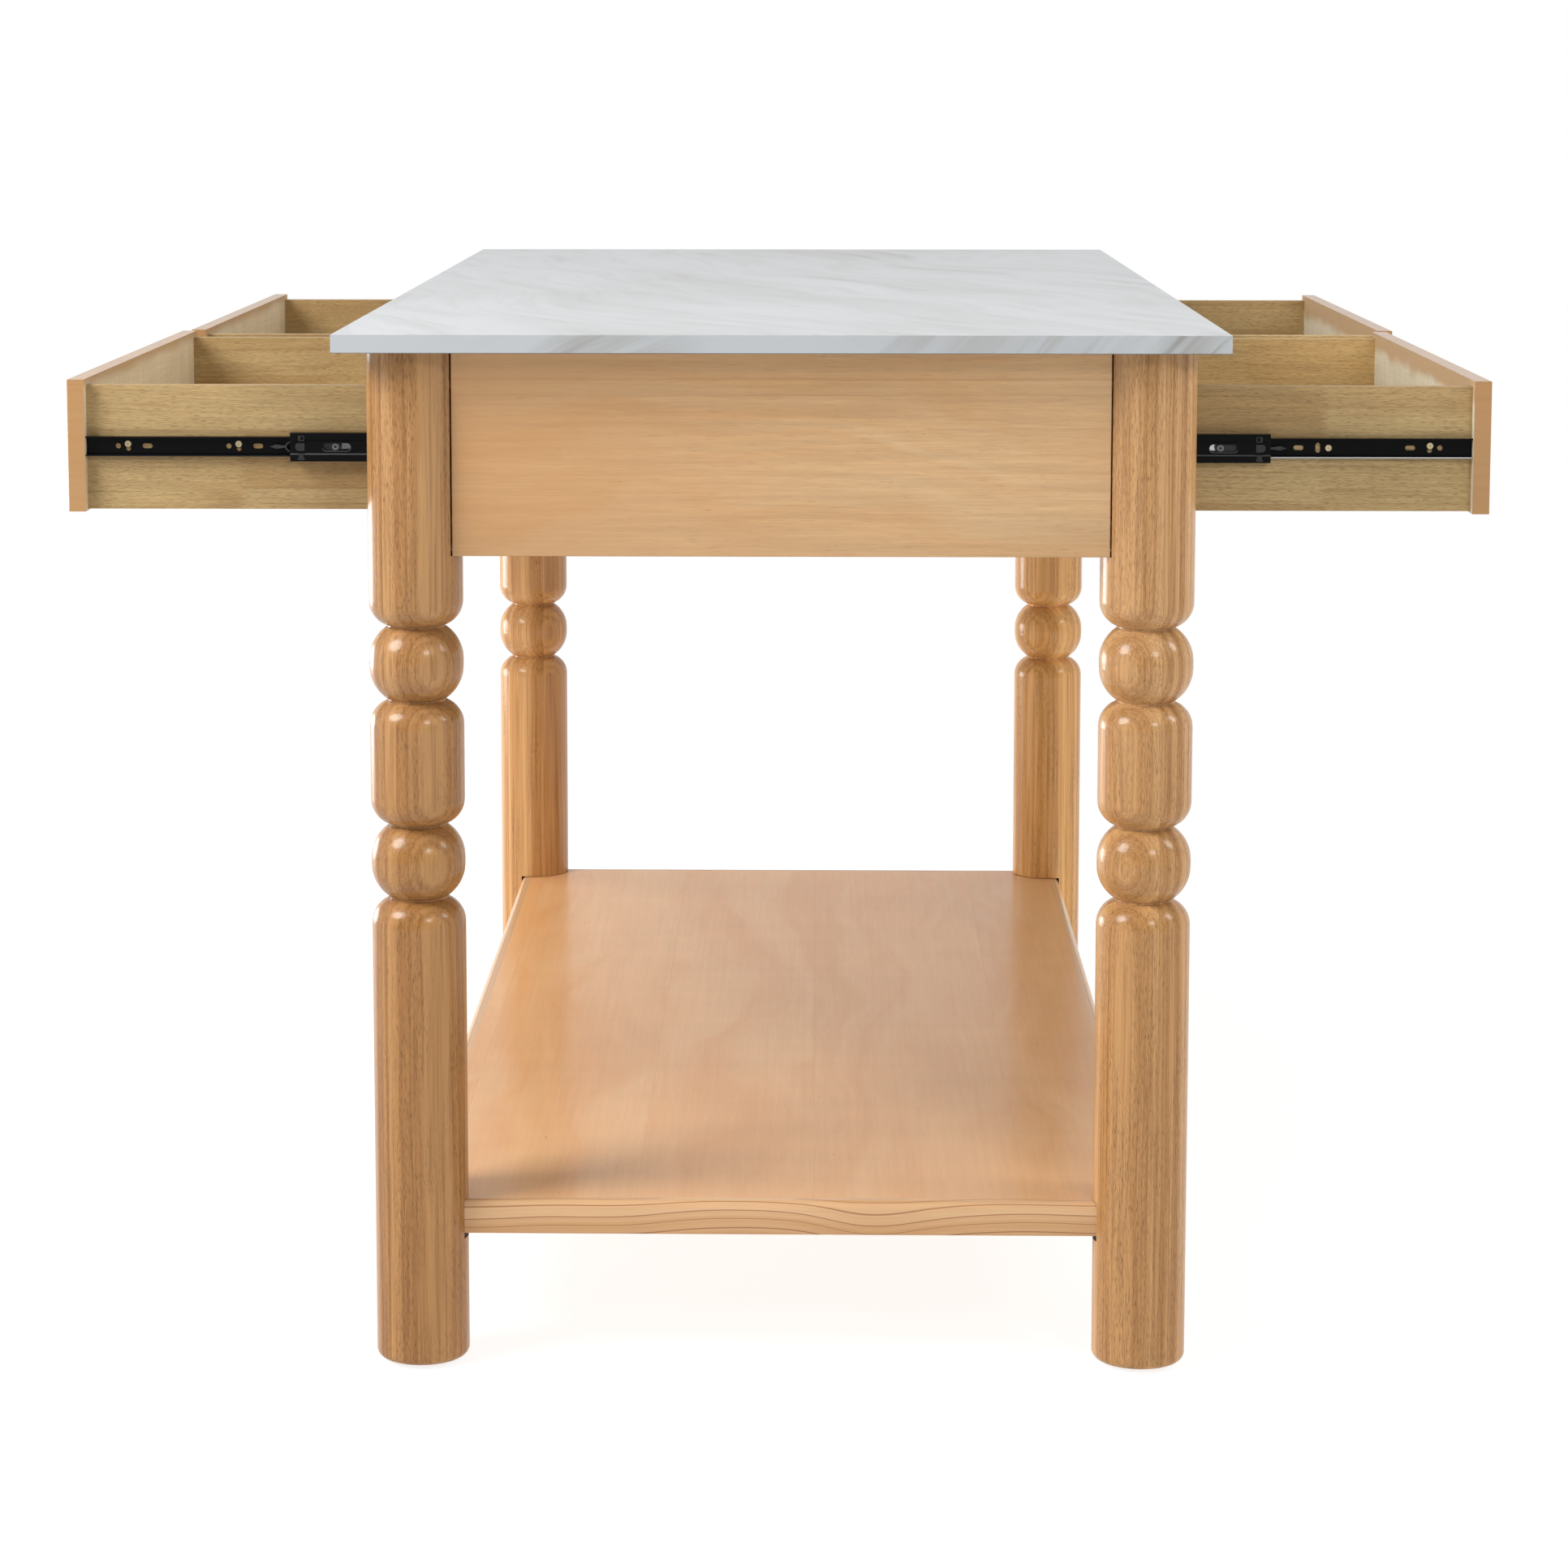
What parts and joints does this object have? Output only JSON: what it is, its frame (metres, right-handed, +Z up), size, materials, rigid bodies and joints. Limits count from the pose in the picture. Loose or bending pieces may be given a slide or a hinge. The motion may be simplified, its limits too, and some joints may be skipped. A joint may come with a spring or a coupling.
{
  "type": "kitchen island",
  "caption": "Freestanding kitchen island on turned bobbin legs with a thin marble-look top, drawers on ball runners that open to both long sides and a low open shelf.",
  "frame": {"origin": "on the floor under the middle of the top", "axes": "+X across the island, +Y along it from the near end to the far end, +Z up"},
  "size_m": [1.311, 1.524, 0.914],
  "materials": {
    "marble_top": "marble-look laminate, satin, over a fibreboard core",
    "leg_wood": "turned rubberwood, clear satin lacquer",
    "panel_veneer": "light veneer, clear satin lacquer",
    "rail_wood": "solid rubberwood, clear satin lacquer",
    "carcass_board": "plain sawn hardwood board",
    "shelf_veneer": "light veneer, clear satin lacquer",
    "lipping_wood": "solid wood with dark grain lines, clear satin lacquer",
    "front_wood": "peach-brown wood, clear satin lacquer",
    "box_wood": "solid rubberwood, matt",
    "bottom_board": "thin veneered board",
    "dowel_wood": "fluted beech dowel",
    "black_steel": "satin black coated steel",
    "zinc_steel": "zinc plated",
    "black_plastic": "moulded, matt",
    "pad_rubber": "hard rubber"
  },
  "bodies": {
    "carcass": {"top_slab": "marble_top", "end_panel_near": "panel_veneer", "runner_board_near": "carcass_board", "leg_near_left": "leg_wood", "leg_near_right": "leg_wood", "end_panel_far": "panel_veneer", "runner_board_far": "carcass_board", "leg_far_left": "leg_wood", "leg_far_right": "leg_wood", "top_rail_left": "rail_wood", "bottom_rail_left": "rail_wood", "top_rail_right": "rail_wood", "bottom_rail_right": "rail_wood", "centre_partition": "carcass_board", "shelf_panel": "shelf_veneer", "shelf_lippings": "lipping_wood", "shelf_pads": "pad_rubber", "foot_glides": "black_plastic", "angle_brackets": "zinc_steel", "bracket_screws": "zinc_steel", "leg_bolts": "zinc_steel", "wood_dowels": "dowel_wood", "outer_runners": "black_steel", "runner_screws": "zinc_steel"},
    "drawer_near_left": {"drawer_front_near_left": "front_wood", "drawer_outer_side_near_left": "box_wood", "drawer_inner_side_near_left": "box_wood", "drawer_back_near_left": "box_wood", "drawer_bottom_near_left": "bottom_board", "drawer_knob_near_left": "front_wood", "inner_runners_near_left": "black_steel"},
    "middle_near_left": {"middle_runners_near_left": "black_steel"},
    "lever_near_left": {"release_levers_near_left": "black_plastic"},
    "drawer_far_left": {"drawer_front_far_left": "front_wood", "drawer_outer_side_far_left": "box_wood", "drawer_inner_side_far_left": "box_wood", "drawer_back_far_left": "box_wood", "drawer_bottom_far_left": "bottom_board", "drawer_knob_far_left": "front_wood", "inner_runners_far_left": "black_steel"},
    "middle_far_left": {"middle_runners_far_left": "black_steel"},
    "lever_far_left": {"release_levers_far_left": "black_plastic"},
    "drawer_near_right": {"drawer_front_near_right": "front_wood", "drawer_outer_side_near_right": "box_wood", "drawer_inner_side_near_right": "box_wood", "drawer_back_near_right": "box_wood", "drawer_bottom_near_right": "bottom_board", "drawer_knob_near_right": "front_wood", "inner_runners_near_right": "black_steel"},
    "middle_near_right": {"middle_runners_near_right": "black_steel"},
    "lever_near_right": {"release_levers_near_right": "black_plastic"},
    "drawer_far_right": {"drawer_front_far_right": "front_wood", "drawer_outer_side_far_right": "box_wood", "drawer_inner_side_far_right": "box_wood", "drawer_back_far_right": "box_wood", "drawer_bottom_far_right": "bottom_board", "drawer_knob_far_right": "front_wood", "inner_runners_far_right": "black_steel"},
    "middle_far_right": {"middle_runners_far_right": "black_steel"},
    "lever_far_right": {"release_levers_far_right": "black_plastic"}
  },
  "joints": [
    {"name": "near_left_drawer_slide", "type": "slide", "parent": "carcass", "child": "drawer_near_left", "axis": [-1, 0, 0], "range_m": [-0.29, 0.01]},
    {"name": "near_left_middle_slide", "type": "slide", "parent": "carcass", "child": "middle_near_left", "axis": [-1, 0, 0], "range_m": [-0.145, 0.005]},
    {"name": "near_left_lever_press", "type": "hinge", "parent": "drawer_near_left", "child": "lever_near_left", "pos_m": [-0.3935, 0, 0.806], "axis": [0, 1, 0], "range_deg": [-2.5, 2.5], "stiffness_Nm_per_rad": 0.4},
    {"name": "far_left_drawer_slide", "type": "slide", "parent": "carcass", "child": "drawer_far_left", "axis": [-1, 0, 0], "range_m": [-0.283, 0.017]},
    {"name": "far_left_middle_slide", "type": "slide", "parent": "carcass", "child": "middle_far_left", "axis": [-1, 0, 0], "range_m": [-0.1415, 0.0085]},
    {"name": "far_left_lever_press", "type": "hinge", "parent": "drawer_far_left", "child": "lever_far_left", "pos_m": [-0.3865, 0, 0.806], "axis": [0, 1, 0], "range_deg": [-2.5, 2.5], "stiffness_Nm_per_rad": 0.4},
    {"name": "near_right_drawer_slide", "type": "slide", "parent": "carcass", "child": "drawer_near_right", "axis": [1, 0, 0], "range_m": [-0.282, 0.018]},
    {"name": "near_right_middle_slide", "type": "slide", "parent": "carcass", "child": "middle_near_right", "axis": [1, 0, 0], "range_m": [-0.141, 0.009]},
    {"name": "near_right_lever_press", "type": "hinge", "parent": "drawer_near_right", "child": "lever_near_right", "pos_m": [0.3855, 0, 0.806], "axis": [0, 1, 0], "range_deg": [-2.5, 2.5], "stiffness_Nm_per_rad": 0.4},
    {"name": "far_right_drawer_slide", "type": "slide", "parent": "carcass", "child": "drawer_far_right", "axis": [1, 0, 0], "range_m": [-0.29, 0.01]},
    {"name": "far_right_middle_slide", "type": "slide", "parent": "carcass", "child": "middle_far_right", "axis": [1, 0, 0], "range_m": [-0.145, 0.005]},
    {"name": "far_right_lever_press", "type": "hinge", "parent": "drawer_far_right", "child": "lever_far_right", "pos_m": [0.3935, 0, 0.806], "axis": [0, 1, 0], "range_deg": [-2.5, 2.5], "stiffness_Nm_per_rad": 0.4}
  ],
  "couplings": [
    {"joint": "near_left_middle_slide", "follows": "near_left_drawer_slide", "ratio": 0.5},
    {"joint": "far_left_middle_slide", "follows": "far_left_drawer_slide", "ratio": 0.5},
    {"joint": "near_right_middle_slide", "follows": "near_right_drawer_slide", "ratio": 0.5},
    {"joint": "far_right_middle_slide", "follows": "far_right_drawer_slide", "ratio": 0.5}
  ]
}
